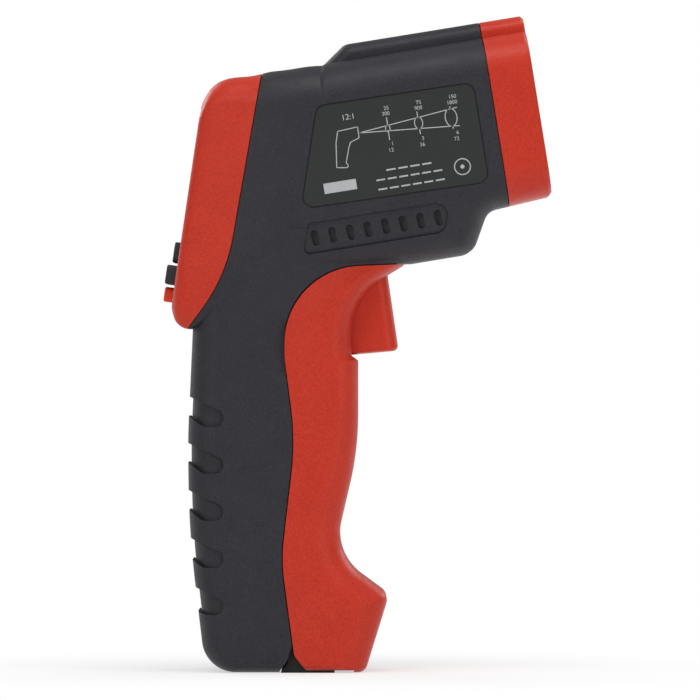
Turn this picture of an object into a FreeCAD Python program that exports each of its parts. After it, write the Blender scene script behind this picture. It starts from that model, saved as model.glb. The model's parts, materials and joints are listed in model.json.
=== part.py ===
import FreeCAD, Part
import math
import os

# Pistol-grip infrared thermometer.
# Millimetres. +X is where it aims, +Y is its left side, +Z is up.
# The origin is the middle of the flat end of the grip, on which it stands.

V = FreeCAD.Vector

# ---------------------------------------------------------------- driving dimensions
WALL = 2.2                      # wall of the moulded shells
BODY_GAP = 0.3                  # clearance between pieces that move apart
SEAM_GAP = 0.25                 # joint line between fixed covers
TONGUE_GAP = 0.1                # behind the cover's joint line the housing comes this close
MID_WALL = 1.2                  # this far under the surface is well inside the wall
TONGUE_LOW_Z = 56.0
HALF_GAP = 0.05                 # each half shell stays this far from the middle plane
FIT_GAP = 0.15                  # clearance of a spigot inside a shell
SEAT_GAP = 0.02                 # radial clearance of a part pressed or screwed home
RUN_GAP = 0.06                  # radial clearance of a running pin
SPIGOT_WALL = 1.3
SPIGOT_LENGTH = 3.0

TILT = math.radians(9.2)        # rise of the barrel towards the nose
LEAN = math.radians(8.4)        # lean of the display face

GRIP_HALF_WIDTH = 20.0
HEAD_HALF_WIDTH = 24.5
RIDGE_HALF_WIDTH = 12.5
GRIP_EDGE_DEPTH = 8.0           # how far across the width an edge keeps curving
HEAD_EDGE_DEPTH = 12.0
RIDGE_EDGE_DEPTH = 5.0

GRIP_BACK_X = -28.7
GRIP_FRONT_X = 16.7
TOE_TIP_X = 24.85
TOE_TIP_Z = 20.4
TOE_WAIST_X = 10.15
TOE_WAIST_Z = 31.2
BASE_BACK_X = -24.0
BASE_FRONT_X = 18.55
SLOT_FLOOR_Z = 83.0             # top of the cover below the trigger
CHEEK_X = 14.8                  # hollow of the cover beside the trigger
CHEEK_RADIUS = 17.0

FACE_FOOT_X = -33.9             # lower end of the display face
FACE_FOOT_Z = 91.4

BELLY_W = 102.6                 # heights in the barrel's own frame
NOSE_BOTTOM_W = 113.2
HEAD_TOP_W = 158.8
RIDGE_TOP_W = 163.1
LENS_W = 136.0
LASER_W = 155.9
BELLY_END_U = 64.5              # places along the barrel
NOSE_START_U = 70.3
RIDGE_START_U = 31.0
RIDGE_RAMP = 8.5
BELLY_SLOPE = 0.1655            # rise of the belly line over its length
NOSE_U = 87.7
RING_DEPTH = 11.6
RING_CHAMFER = 0.8
INSERT_BACK_U = 81.3
INSERT_FRONT_U = 84.9

LEAST_RADIUS_SHARE = 0.35       # a corner keeps this share of its radius as its sides curve in
SKIN_OVER = 4.0                 # cutters reach this far past a surface

# Finger grooves round the back of the grip
GROOVE_COUNT = 5
GROOVE_PITCH = 12.5
GROOVE_TOP_Z = 65.4             # lower edge of the highest one on the side
GROOVE_HEIGHT = 3.9
GROOVE_DEPTH = 0.9
GROOVE_END_X = -19.1
GROOVE_BEND_X = -24.6           # behind here it rises towards the back
GROOVE_RISE_LOW = 0.75
GROOVE_RISE_HIGH = 0.45

# Labels
LABEL_RECESS = 0.5
LABEL_THICKNESS = 0.3
LABEL_MARGIN = 0.35
LABEL_CORNER = 3.0

# Vents
VENT_COUNT = 8
VENT_PITCH = 4.72
VENT_WIDTH = 1.95
VENT_HEIGHT = 4.2
VENT_FIRST_U = 23.7
VENT_W = 113.2
VENT_PANEL_HALF_HEIGHT = 4.1
VENT_PANEL_START_U = 19.6
VENT_PANEL_END_U = 58.0
VENT_PANEL_SLANT = 2.7
VENT_PANEL_DEPTH = 0.5
BAFFLE_INNER_Y = 15.0            # the wall behind the slots that keeps the inside out of sight
BAFFLE_WALL = 1.2
BAFFLE_TOP_W = 119.0

# Battery, 9 V block
BATTERY_WIDTH = 26.5
BATTERY_DEPTH = 17.5
BATTERY_HEIGHT = 46.4
BATTERY_CLEAR = 0.3
BATTERY_FRONT_X = 8.6
BATTERY_BOTTOM_Z = 14.9
TERMINAL_HEIGHT = 2.2
TERMINAL_PITCH = 12.7
TERMINAL_RADIUS = 3.6
SNAP_THICKNESS = 4.6
SNAP_LENGTH = 13.0

# Inner chassis
CHASSIS_WALL = 1.5
CHASSIS_BASE_Z = 0.0            # its foot is part of the face that the grip stands on
FOOT_BACK_X = -2.0
CHASSIS_HALF_WIDTH = 17.3
TOWER_FRONT_X = 0.5
TOWER_THICKNESS = 2.0
TOWER_HALF_WIDTH = 12.0
ARM_INNER_Y = 3.7
ARM_WIDTH = 2.6

# Battery cover hinge
HINGE_X = 14.2
HINGE_Z = 4.6
HINGE_PIN_RADIUS = 1.0
HINGE_EYE_RADIUS = 2.6
LUG_INNER_Y = 8.0
LUG_WIDTH = 2.4
EAR_INNER_Y = 14.6

# Trigger
PIVOT_X = 19.0
PIVOT_Z = 114.5
PIVOT_PIN_RADIUS = 1.25
PIVOT_EYE_RADIUS = 3.3
TRIGGER_HALF_WIDTH = 9.4
TRIGGER_BACK_X = 11.5
TRIGGER_TIP_X = 27.5
TRIGGER_TIP_Z = 85.6
TRIGGER_TOP_X = 24.5
TRIGGER_TOP_Z = 106.2
TRIGGER_WALL = 2.0
TRIGGER_STEM_HALF_WIDTH = 3.3
SPRING_Z = 90.0
SPRING_RADIUS = 2.9
SPRING_WIRE = 0.5
SPRING_TURNS = 7
SWITCH_Z = 98.0
SWITCH_DEPTH = 6.5
SWITCH_WIDTH = 12.8
SWITCH_HEIGHT = 6.0
SWITCH_LUG = 3.2
PLUNGER_LENGTH = 5.2
PLUNGER_OUT = 2.2
PLUNGER_WIDTH = 2.8
PLUNGER_HEIGHT = 1.8

# Display face: heights along it from its lower end, depths inward from its surface
WINDOW_LOW_S = 27.5
WINDOW_HIGH_S = 59.4
WINDOW_HALF_WIDTH = 16.5
WINDOW_SINK = 0.4
WINDOW_THICKNESS = 1.4
WINDOW_REBATE = 1.4
LCD_THICKNESS = 2.8
BACKLIGHT_THICKNESS = 2.2
BOARD_DEPTH = 7.6
BOARD_THICKNESS = 1.6
BOARD_LOW_S = 6.5
BOARD_HIGH_S = 64.2
BOARD_HALF_WIDTH = 18.0
POST_RADIUS = 1.9
POST_Y = 15.8
KEY_GAP = 0.25
KEY_TRAVEL = 0.8
KEY_FLANGE = 0.8
KEY_FLANGE_EDGE = 0.7
KEY_FLANGE_END = 0.25
KEY_SEAT = 0.2
MAT_THICKNESS = 1.2

# Lens and sensor
HOOD_FRONT_RADIUS = 15.5
HOOD_BACK_RADIUS = 9.0
HOOD_WALL = 1.4
HOOD_BACK_U = 72.0
BARREL_BACK_U = 50.0
BARREL_RADIUS = 12.0
BARREL_BORE_RADIUS = 9.0
LENS_THICKNESS = 2.0
LENS_SET_BACK = 2.2
SENSOR_RADIUS = 4.6
SENSOR_LENGTH = 5.0
SENSOR_BOARD = 11.0
SENSOR_BOARD_THICKNESS = 1.6

# Laser
LASER_RADIUS = 3.0
LASER_BACK_U = 58.0
LASER_LENGTH = 17.0
LASER_WINDOW_RADIUS = 2.9
LASER_WINDOW_THICKNESS = 1.0

# Screws, placed in the side view; they go in from the left
SCREW_PLACES = ((-19.6, 9.6), (-20.4, 63.5), (-13.6, 95.5))
SCREW_PLACES_BARREL = ((60.4, 108.8), (28.0, 153.0), (49.5, 154.0))
SCREW_RADIUS = 1.4
SCREW_HEAD_RADIUS = 2.6
SCREW_HEAD_HEIGHT = 1.9
SCREW_REACH = 9.0
SCREW_WEB = 4.5
BOSS_RADIUS = 3.9

WIRE_RADIUS = 0.6


# ---------------------------------------------------------------- frames
def on_barrel(u, w):
    """The side-view point at u along the barrel and w up from it."""
    x = u * math.cos(TILT) - w * math.sin(TILT)
    z = u * math.sin(TILT) + w * math.cos(TILT)
    return x, z


def on_face(s, depth):
    """The side-view point at s up the display face and depth below its surface."""
    x = FACE_FOOT_X + s * math.sin(LEAN) + depth * math.cos(LEAN)
    z = FACE_FOOT_Z + s * math.cos(LEAN) - depth * math.sin(LEAN)
    return x, z


BARREL_FRAME = FreeCAD.Placement(V(0, 0, 0), FreeCAD.Rotation(V(0, 1, 0), -math.degrees(TILT)))
FACE_FRAME = FreeCAD.Placement(
    V(FACE_FOOT_X, 0, FACE_FOOT_Z),
    FreeCAD.Rotation(V(0, 1, 0), math.degrees(LEAN) - 90),
)


def in_barrel(shape):
    """Moves a shape drawn with x = u, y, z = w into place."""
    return shape.transformed(BARREL_FRAME.toMatrix())


def in_face(shape):
    """Moves a shape drawn with x up the face, y across it and z out of it into place."""
    return shape.transformed(FACE_FRAME.toMatrix())


# ---------------------------------------------------------------- plain shapes
def box(x0, x1, y0, y1, z0, z1):
    return Part.makeBox(x1 - x0, y1 - y0, z1 - z0, V(x0, y0, z0))


def rod(radius, start, end):
    """A cylinder between two points."""
    a, b = V(*start), V(*end)
    return Part.makeCylinder(radius, (b - a).Length, a, b - a)


def cone(radius_a, radius_b, start, end):
    a, b = V(*start), V(*end)
    return Part.makeCone(radius_a, radius_b, (b - a).Length, a, b - a)


def both_sides(shape):
    """The shape and its mirror image across the middle plane, joined."""
    return shape.fuse(shape.mirror(V(0, 0, 0), V(0, 1, 0)))


def rounded_wire(corners, place):
    """A closed wire through corners (a, b, radius); place(a, b) gives each point."""
    count = len(corners)
    points = [place(c[0], c[1]) for c in corners]
    steps = [points[(i + 1) % count] - points[i] for i in range(count)]
    units = [V(step).normalize() for step in steps]
    halves = []
    for i in range(count):
        turn = max(-1.0, min(1.0, units[i - 1].dot(units[i])))
        halves.append(math.acos(turn) / 2)
    reach = [corners[i][2] * math.tan(halves[i]) for i in range(count)]
    scale = [1.0] * count
    for i in range(count):
        after = (i + 1) % count
        if reach[i] + reach[after] > 0.97 * steps[i].Length:
            share = 0.97 * steps[i].Length / (reach[i] + reach[after])
            scale[i] = min(scale[i], share)
            scale[after] = min(scale[after], share)
    starts, middles, ends = [], [], []
    for i in range(count):
        radius = corners[i][2] * scale[i]
        tangent = radius * math.tan(halves[i])
        starts.append(points[i] - units[i - 1] * tangent)
        ends.append(points[i] + units[i] * tangent)
        inward = V(units[i] - units[i - 1])
        if inward.Length > 0:
            inward.normalize()
        middles.append(points[i] + inward * (radius / math.cos(halves[i]) - radius))
    edges = []
    for i in range(count):
        if corners[i][2] > 0 and (ends[i] - starts[i]).Length > 1e-6:
            edges.append(Part.Arc(starts[i], middles[i], ends[i]).toShape())
        edges.append(Part.LineSegment(ends[i], starts[(i + 1) % count]).toShape())
    return Part.Wire(edges)


def side_wire(corners, y):
    return rounded_wire(corners, lambda x, z: V(x, y, z))


def side_prism(corners, y0, y1):
    """A side-view outline drawn out across the width."""
    return Part.Face(side_wire(corners, y0)).extrude(V(0, y1 - y0, 0))


def plate(x0, x1, y0, y1, z0, z1, radius):
    """A box whose corners are rounded as seen along z."""
    corners = [(x0, y0, radius), (x1, y0, radius), (x1, y1, radius), (x0, y1, radius)]
    wire = rounded_wire(corners, lambda x, y: V(x, y, z0))
    return Part.Face(wire).extrude(V(0, 0, z1 - z0))


def shifted(outline, shifts):
    """Moves each side of a closed outline inward and returns the new corners."""
    count = len(outline)
    lines = []
    for i in range(count):
        x0, z0 = outline[i][:2]
        x1, z1 = outline[(i + 1) % count][:2]
        length = math.hypot(x1 - x0, z1 - z0)
        dx, dz = (x1 - x0) / length, (z1 - z0) / length
        lines.append((x0 - dz * shifts[i], z0 + dx * shifts[i], dx, dz))
    corners = []
    for i in range(count):
        ax, az, adx, adz = lines[i - 1]
        bx, bz, bdx, bdz = lines[i]
        cross = adx * bdz - adz * bdx
        along = ((bx - ax) * bdz - (bz - az) * bdx) / cross
        mean = (shifts[i - 1] + shifts[i]) / 2
        radius = outline[i][2] - mean if cross > 0 else outline[i][2] + mean
        corners.append((ax + adx * along, az + adz * along, max(radius, LEAST_RADIUS_SHARE * outline[i][2])))
    return corners


def pillow(outline, half_width, edge_depth, inset):
    """A body with a side-view outline whose edges curve in towards its two sides.

    Each corner is (x, z, corner radius, how far the side that starts there curves in).
    The inset makes the same body smaller by a wall.
    """
    start = half_width - inset - edge_depth
    base = shifted(outline, [inset] * len(outline))
    rounds = [max(corner[3] - 0.6 * inset, 0.0) if corner[3] else 0.0 for corner in outline]
    core = Part.Face(side_wire(base, 1 - start)).extrude(V(0, 2 * start - 2, 0))
    wires = [side_wire(base, start - 1.0), side_wire(base, start - 0.5)]
    steps = 7
    for step in range(steps):
        angle = math.pi / 2 * step / (steps - 1)
        shifts = [inset + r * (1 - math.cos(angle)) for r in rounds]
        wires.append(side_wire(shifted(outline, shifts), start + edge_depth * math.sin(angle)))
    side = Part.makeLoft(wires, True, False)
    return core.fuse([side, side.mirror(V(0, 0, 0), V(0, 1, 0))])


# ---------------------------------------------------------------- outer form
def barrel_corner(u, w, radius, curve):
    x, z = on_barrel(u, w)
    return x, z, radius, curve


GRIP_OUTLINE = [
    (BASE_BACK_X, 0, 9, 2),
    (BASE_FRONT_X, 0, 2.5, 9),
    (TOE_TIP_X, TOE_TIP_Z, 3.2, 9),
    (TOE_WAIST_X, TOE_WAIST_Z, 14, 8),
    (GRIP_FRONT_X, 59.4, 80, 6.5),
    (GRIP_FRONT_X, SLOT_FLOOR_Z, 0.2, 4),
    (CHEEK_X + 0.1, SLOT_FLOOR_Z + 1.3, 0.6, 6),
    (CHEEK_X, 99.9, CHEEK_RADIUS, 3.5),
    (28.9, 108.5, 0.3, 2),
    (27, 116, 1, 2),
    (-20, 116, 1, 4),
    (-27, 100, 5, 7),
    (GRIP_BACK_X, 62, 200, 7),
    (GRIP_BACK_X + 0.35, 37.4, 250, 7),
]

BARREL_OUTLINE = [
    (-4, 101.6 + 9.1 * BELLY_SLOPE, 6, 10),
    barrel_corner(BELLY_END_U, BELLY_W, 5, 10),
    barrel_corner(NOSE_START_U, NOSE_BOTTOM_W, 5, 10),
    barrel_corner(NOSE_U + 6, NOSE_BOTTOM_W + 1.7, 1, 0),
    barrel_corner(NOSE_U + 6, HEAD_TOP_W, 1, 9.5),
    (5, 161.45, 5, 4.5),
]

RIDGE_OUTLINE = [
    barrel_corner(RIDGE_START_U, HEAD_TOP_W - 9, 1, 0),
    barrel_corner(NOSE_U + 6, HEAD_TOP_W - 9, 1, 0),
    barrel_corner(NOSE_U + 6, RIDGE_TOP_W, 1, 3),
    barrel_corner(RIDGE_START_U + RIDGE_RAMP, RIDGE_TOP_W, 4, 3),
    barrel_corner(RIDGE_START_U, HEAD_TOP_W - 1.8, 1, 3),
]

# How the head narrows towards the display face: (depth, half width)
REAR_TAPER = ((0, 19.0), (5, 20.2), (10, 21.4), (15, 22.7), (20, 23.8), (24, 24.3), (28, 24.46), (34, 24.48))

# The rounding at the edge of the display face: (depth, pull-in at the ends, pull-in at the sides)
FACE_ROUND = ((0, 7, 2.1), (0.3, 5, 1.5), (0.8, 3.7, 0.9), (1.9, 1.8, 0.35), (3.4, 0.6, 0.1), (5, 0, 0))

# Behind it: (depth, lower end, top in the barrel's frame), then the corner sizes along and across
REAR_STATIONS = (
    (5, 0.75, 158.7, 6.2, 7.2),
    (10, 4.0, 158.72, 7.0, 8.4),
    (15, 9.0, 158.74, 7.8, 9.4),
    (20, 14.0, 158.74, 8.6, 10.4),
    (24, 18.0, 158.7, 9.2, 11.2),
    (28, 21.0, 158.6, 9.8, 12.0),
    (34, 24.0, 158.2, 10.0, 12.0),
)
FACE_TOP_CORNER = (5.2, 6.0)
REAR_LOW_CORNER = (12.0, 4.0)


def value_at(table, place, column):
    """Reads a table by straight lines between its rows."""
    for before, after in zip(table, table[1:]):
        if place <= after[0]:
            share = max(0.0, (place - before[0]) / (after[0] - before[0]))
            return before[column] + share * (after[column] - before[column])
    return table[-1][column]


def face_height(depth, w):
    """How far up the display face's direction a height in the barrel's frame lies."""
    foot_w = FACE_FOOT_Z * math.cos(TILT) - FACE_FOOT_X * math.sin(TILT)
    return (w - foot_w + depth * math.sin(TILT + LEAN)) / math.cos(TILT + LEAN)


def oval_corner(centre, across, up, start, place):
    """A quarter ellipse turning on from the start quarter; place(a, b) gives each point."""
    points = []
    for step in range(7):
        angle = (start + step / 6) * math.pi / 2
        points.append(place(centre[0] + across * math.cos(angle), centre[1] + up * math.sin(angle)))
    curve = Part.BSplineCurve()
    curve.interpolate(points)
    return curve.toShape()


def oval_wire(low, high, half_width, low_corner, high_corner, place):
    """A section between two heights whose corners are quarter ellipses (up, across)."""
    low_up, low_across = low_corner
    high_up, high_across = high_corner
    a, b = half_width - low_across, half_width - high_across
    c, d = low + low_up, high - high_up
    line = Part.LineSegment
    return Part.Wire([
        oval_corner((b, d), high_across, high_up, 0, place),
        line(place(b, high), place(-b, high)).toShape(),
        oval_corner((-b, d), high_across, high_up, 1, place),
        line(place(-half_width, d), place(-half_width, c)).toShape(),
        oval_corner((-a, c), low_across, low_up, 2, place),
        line(place(-a, low), place(a, low)).toShape(),
        oval_corner((a, c), low_across, low_up, 3, place),
        line(place(half_width, c), place(half_width, d)).toShape(),
    ])


def rear(inset):
    """The head from its display face forward, in sections parallel to that face."""
    rounding = 1 - 0.15 * inset
    face_stations = [(inset + rounding * row[0], rounding * row[1], rounding * row[2]) for row in FACE_ROUND]
    stations = face_stations + [(row[0], 0, 0) for row in REAR_STATIONS if row[0] > inset + 6]
    wires = []
    for depth, end_pull, side_pull in stations:
        half_width = value_at(REAR_TAPER, depth, 1) - inset - side_pull
        low_line = depth * math.tan(LEAN) if depth < 5 else value_at(REAR_STATIONS, depth, 1)
        low = low_line + inset + end_pull
        high = face_height(depth, value_at(REAR_STATIONS, depth, 2)) - inset - end_pull
        blend = min(1.0, depth / 5)
        up, across = [
            FACE_TOP_CORNER[i] + blend * (value_at(REAR_STATIONS, depth, 3 + i) - FACE_TOP_CORNER[i])
            for i in (0, 1)
        ]
        shrink = 0.6 * inset
        wires.append(oval_wire(
            low, high, half_width,
            (REAR_LOW_CORNER[0] - inset, REAR_LOW_CORNER[1] - shrink),
            (up - shrink, across - shrink),
            lambda y, s: V(s, y, -depth),
        ))
    return in_face(Part.makeLoft(wires, True, False))


# The neck, where the sides of the grip widen into the sides of the head, in level sections:
# (z, back end, full width from, full width to, front end, how far it stands out)
NECK_SECTIONS = (
    (71, -20, -9, -5, 8, 0.0),
    (78, -20, -8, -5, 8, 0.25),
    (84, -20, -7.5, -5, 8.5, 0.7),
    (90, -20.5, -7, -5.5, 9, 1.35),
    (96, -21, -6.5, -6, 9.5, 2.15),
    (102, -23, -6, -5.8, 12, 3.0),
    (108, -24, -5.5, -5, 20, 3.75),
    (113, -24, -4.5, 0, 26, 4.25),
    (118, -24, -3.5, 10, 36, 4.5),
)
NECK_UNDER = 0.1                # it starts this far under the grip's side


def smooth(share):
    share = max(0.0, min(1.0, share))
    return share * share * (3 - 2 * share)


def neck(inset):
    wires = []
    for z, back, full_from, full_to, front, out in NECK_SECTIONS:
        x0, x1 = back + inset, front - inset
        places = [x0 + (full_from - x0) * k / 4 for k in range(5)]
        places += [full_to + (x1 - full_to) * k / 4 for k in range(5)]
        sides = []
        for side in (1, -1):
            points = []
            for x in places:
                rise = smooth((x - x0) / (full_from - x0)) * smooth((x1 - x) / (x1 - full_to))
                points.append(V(x, side * (GRIP_HALF_WIDTH - NECK_UNDER - inset + out * rise), z))
            if side < 0:
                points.reverse()
            curve = Part.BSplineCurve()
            curve.interpolate(points)
            sides.append(curve.toShape())
            sides.append(points)
        left, left_points, right, right_points = sides
        wires.append(Part.Wire([
            left,
            Part.LineSegment(left_points[-1], right_points[0]).toShape(),
            right,
            Part.LineSegment(right_points[-1], left_points[0]).toShape(),
        ]))
    return Part.makeLoft(wires, True, False)


ENVELOPES = {}


def envelope(inset):
    """The outer form of the whole thermometer, made smaller all round by inset."""
    if inset not in ENVELOPES:
        grip = pillow(GRIP_OUTLINE, GRIP_HALF_WIDTH, GRIP_EDGE_DEPTH, inset)
        ENVELOPES[inset] = nose_form(inset).fuse(rear(inset)).fuse(grip).fuse(neck(inset))
    return ENVELOPES[inset]


def nose_form(inset):
    """The barrel and its ridge alone, which are all there is at the nose."""
    barrel = pillow(BARREL_OUTLINE, HEAD_HALF_WIDTH, HEAD_EDGE_DEPTH, inset)
    return barrel.fuse(pillow(RIDGE_OUTLINE, RIDGE_HALF_WIDTH, RIDGE_EDGE_DEPTH, inset))


def between(outer_inset, inner_inset, region):
    """The layer of the outer form between two insets, inside a region."""
    return envelope(outer_inset).common(region).cut(envelope(inner_inset))


# ---------------------------------------------------------------- joint lines
FAR = 60.0                      # past the body, for cutters


def bezel_region(gap):
    """Everything behind the joint line of the rear bezel."""
    corners = [
        (-7.2 - gap, 170, 0),
        (-FAR, 170, 0),
        (-FAR, 81.6, 0),
        (-36 - gap, 81.6, 0),
        (-18.4 - gap, 105.5, 45),
    ]
    return side_prism(corners, -FAR, FAR)


def cover_region(gap):
    """Everything in front of and below the joint line of the battery cover."""
    corners = [
        (6.6 + gap, -4, 0),
        (FAR, -4, 0),
        (FAR, 108.6 - gap, 0),
        (28.9, 108.6 - gap, 0),
        (-2.6 + gap, 107.3 - gap, 20.5),
        (-2.9 + gap, 84, 20),
        (gap, 62, 70),
        (-3.7 + gap, 30, 45),
        (-0.3 + gap, 4.6, 3),
    ]
    return side_prism(corners, -FAR, FAR)


def cover_joint():
    """The housing's side of the cover's joint line: narrower under the surface, above the bay."""
    tongue = envelope(MID_WALL).common(box(-FAR, FAR, -FAR, FAR, TONGUE_LOW_Z, 2 * FAR))
    return cover_region(-BODY_GAP).cut(tongue)


def barrel_slab(u0, u1):
    """The stretch of the barrel from u0 to u1."""
    return in_barrel(box(u0, u1, -FAR, FAR, NOSE_BOTTOM_W - FAR, RIDGE_TOP_W + FAR))


def half_space(side):
    """The left (+1) or right (-1) of the middle plane."""
    y0, y1 = (HALF_GAP, FAR) if side > 0 else (-FAR, -HALF_GAP)
    return box(-FAR, 2 * FAR, y0, y1, -FAR, 4 * FAR)


# ---------------------------------------------------------------- features of the shells
def groove_cutter():
    """The skin taken off in bands round the back of the grip."""
    bands = []
    start_x = GRIP_BACK_X - 5
    run = GROOVE_BEND_X - start_x
    for index in range(GROOVE_COUNT):
        z = GROOVE_TOP_Z - index * GROOVE_PITCH
        corners = [
            (start_x, z + GROOVE_RISE_LOW * run, 0),
            (GROOVE_BEND_X, z, 3),
            (GROOVE_END_X, z, 2.4),
            (GROOVE_END_X, z + GROOVE_HEIGHT, 2.2),
            (start_x, z + GROOVE_HEIGHT + GROOVE_RISE_HIGH * (GROOVE_END_X - start_x), 0),
        ]
        bands.append(side_prism(corners, -FAR, FAR))
    kept = pillow(GRIP_OUTLINE, GRIP_HALF_WIDTH, GRIP_EDGE_DEPTH, GROOVE_DEPTH)
    return bands[0].fuse(bands[1:]).cut(kept)


def label_corners(margin):
    """The four-sided label, parallel to the joint lines behind and in front of it."""
    outline = [
        (1.3, 122.9, LABEL_CORNER),
        (51.6, 130.2, LABEL_CORNER),
        (47.3, 156.9, LABEL_CORNER),
        (5.5, 150.6, LABEL_CORNER),
    ]
    return shifted(outline, [margin] * 4)


def label_cutter():
    depth = HEAD_HALF_WIDTH - LABEL_RECESS
    return both_sides(side_prism(label_corners(0), depth, depth + SKIN_OVER))


def label(side):
    depth = HEAD_HALF_WIDTH - LABEL_RECESS
    plain = side_prism(label_corners(LABEL_MARGIN), depth, depth + LABEL_THICKNESS)
    return plain if side > 0 else plain.mirror(V(0, 0, 0), V(0, 1, 0))


def vent_cutter():
    """The sunk panel on each side of the head, with its row of slots."""
    half = VENT_PANEL_HALF_HEIGHT
    slots = []
    for index in range(VENT_COUNT):
        u = VENT_FIRST_U + index * VENT_PITCH
        outline = []
        for du, dw in ((-0.5, -0.5), (0.5, -0.5), (0.5, 0.5), (-0.5, 0.5)):
            x, z = on_barrel(u + du * VENT_WIDTH - 0.1 * dw * VENT_HEIGHT, VENT_W + dw * VENT_HEIGHT)
            outline.append((x, z, 0.48 * VENT_WIDTH))
        slots.append(side_prism(outline, HEAD_HALF_WIDTH - 5, FAR))
    rim = []
    for u, w, radius in (
        (VENT_PANEL_START_U, -half, 1.6),
        (VENT_PANEL_END_U, -half, 3.4),
        (VENT_PANEL_END_U + VENT_PANEL_SLANT, half, 3.4),
        (VENT_PANEL_START_U + VENT_PANEL_SLANT, half, 1.6),
    ):
        x, z = on_barrel(u, VENT_W + w)
        rim.append((x, z, radius))
    panel = side_prism(rim, GRIP_HALF_WIDTH - 6, FAR).cut(envelope(VENT_PANEL_DEPTH))
    return both_sides(panel.fuse(slots))


def pull_cutter():
    """The hollows beside the battery cover, where fingers take hold of it."""
    radius, bite = 26.0, 1.4
    y = GRIP_HALF_WIDTH + 0.6 - bite + radius
    return both_sides(Part.makeSphere(radius, V(-2.4, y, 84.5)))


def toe_notch(margin):
    """The corner left open at the foot of the joint line, where the chassis shows."""
    corners = [(-4.6, -4, 0), (4, -4, 0), (4, 7.4, 0), (-0.9, 7.4, 0), (-2.2, 3.2, 6), (-4.3, 0.4, 2)]
    return side_prism(shifted(corners, [margin] * len(corners)), -FAR, FAR)


def screw_places():
    return list(SCREW_PLACES) + [on_barrel(u, w) for u, w in SCREW_PLACES_BARREL]


def screw_bosses(side):
    """Tubes from one side wall to the middle, trimmed to the inside of the wall."""
    bosses = [rod(BOSS_RADIUS, (x, side * HALF_GAP, z), (x, side * FAR, z)) for x, z in screw_places()]
    return bosses[0].fuse(bosses[1:]).common(envelope(MID_WALL))


def screw_holes(side):
    holes = []
    for x, z in screw_places():
        if side > 0:
            holes.append(rod(SCREW_RADIUS + FIT_GAP, (x, 0, z), (x, SCREW_WEB + 1, z)))
            holes.append(rod(SCREW_HEAD_RADIUS + FIT_GAP, (x, SCREW_WEB, z), (x, FAR, z)))
        else:
            holes.append(rod(SCREW_RADIUS + SEAT_GAP, (x, 0, z), (x, -SCREW_REACH - 1, z)))
    return holes[0].fuse(holes[1:])


def housing_screws():
    """Six screws, heads on the left."""
    screws = []
    for x, z in screw_places():
        head = rod(SCREW_HEAD_RADIUS, (x, SCREW_WEB, z), (x, SCREW_WEB + SCREW_HEAD_HEIGHT, z))
        shank = rod(SCREW_RADIUS, (x, SCREW_WEB, z), (x, -SCREW_REACH, z))
        screw = head.fuse(shank)
        for angle in (0, 90):
            slot = box(-1.5, 1.5, -0.35, 0.35, -1, 1)
            slot.rotate(V(0, 0, 0), V(0, 0, 1), angle)
            slot.rotate(V(0, 0, 0), V(1, 0, 0), 90)
            slot.translate(V(x, SCREW_WEB + SCREW_HEAD_HEIGHT, z))
            screw = screw.cut(slot)
        screws.append(screw)
    return Part.makeCompound(screws)


def shell_ribs(side):
    """Ribs inside one shell that hold the chassis, the lens barrel and the laser."""
    ribs = []
    for z in (22.0, 56.0):
        ribs.append(box(-9, -4.5, side_low(side, CHASSIS_OUTER), side_high(side, CHASSIS_OUTER), z, z + 2))
    for u in (56.0, 66.0):
        rib = box(u, u + 2, side_low(side, 2), side_high(side, 2), LENS_W - 10, LENS_W + 10)
        rib = rib.cut(rod(BARREL_RADIUS + SEAT_GAP, (u - 1, 0, LENS_W), (u + 3, 0, LENS_W)))
        ribs.append(in_barrel(rib))
    for u in (60.0, 69.0):
        low, high = LASER_W - 5, RIDGE_TOP_W
        rib = box(u, u + 2, side_low(side, HALF_GAP), side_high(side, HALF_GAP), low, high)
        rib = rib.cut(rod(LASER_RADIUS + SEAT_GAP, (u - 1, 0, LASER_W), (u + 3, 0, LASER_W)))
        ribs.append(in_barrel(rib))
    y0, y1 = sorted((side * BAFFLE_INNER_Y, side * (BAFFLE_INNER_Y + BAFFLE_WALL)))
    baffle = box(VENT_PANEL_START_U - 2, VENT_PANEL_END_U + 4, y0, y1, BELLY_W, BAFFLE_TOP_W)
    ribs.append(in_barrel(baffle))
    return ribs[0].fuse(ribs[1:]).common(envelope(MID_WALL))


def side_low(side, inner):
    return inner if side > 0 else -FAR


def side_high(side, inner):
    return FAR if side > 0 else -inner


CHASSIS_OUTER = BATTERY_WIDTH / 2 + BATTERY_CLEAR + CHASSIS_WALL + 0.05


def shell(side):
    """One half of the black housing: +1 left, -1 right."""
    region = half_space(side)
    body = between(0.0, WALL, region)
    body = body.fuse([screw_bosses(side), shell_ribs(side)])
    nose = barrel_slab(NOSE_U - RING_DEPTH - SEAM_GAP, NOSE_U + FAR)
    cuts = [
        bezel_region(-SEAM_GAP),
        nose,
        cover_region(-TONGUE_GAP),
        cover_joint(),
        toe_notch(0),
        groove_cutter(),
        label_cutter(),
        vent_cutter(),
        pull_cutter(),
        screw_holes(side),
        stem_slot(),
    ]
    body = body.cut(cuts)
    return largest(body)


def largest(shape):
    return max(shape.Solids, key=lambda solid: solid.Volume)


# ---------------------------------------------------------------- rear bezel and its display
def face_window(low_s, high_s, half_width, z0, z1, radius):
    return in_face(plate(low_s, high_s, -half_width, half_width, z0, z1, radius))


# name, middle y, half width, low s, high s, how far it stands out
KEYS = (
    ("key_mode", 0.0, 8.0, 17.7, 23.3, 1.7),
    ("key_left", 6.6, 5.6, 11.8, 17.0, 2.8),
    ("key_right", -6.6, 5.6, 11.8, 17.0, 2.8),
    ("key_light", 0.0, 7.0, 7.1, 11.1, 2.6),
)
KEY_CORNER = 1.3
KEY_EDGE = 0.5


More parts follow.
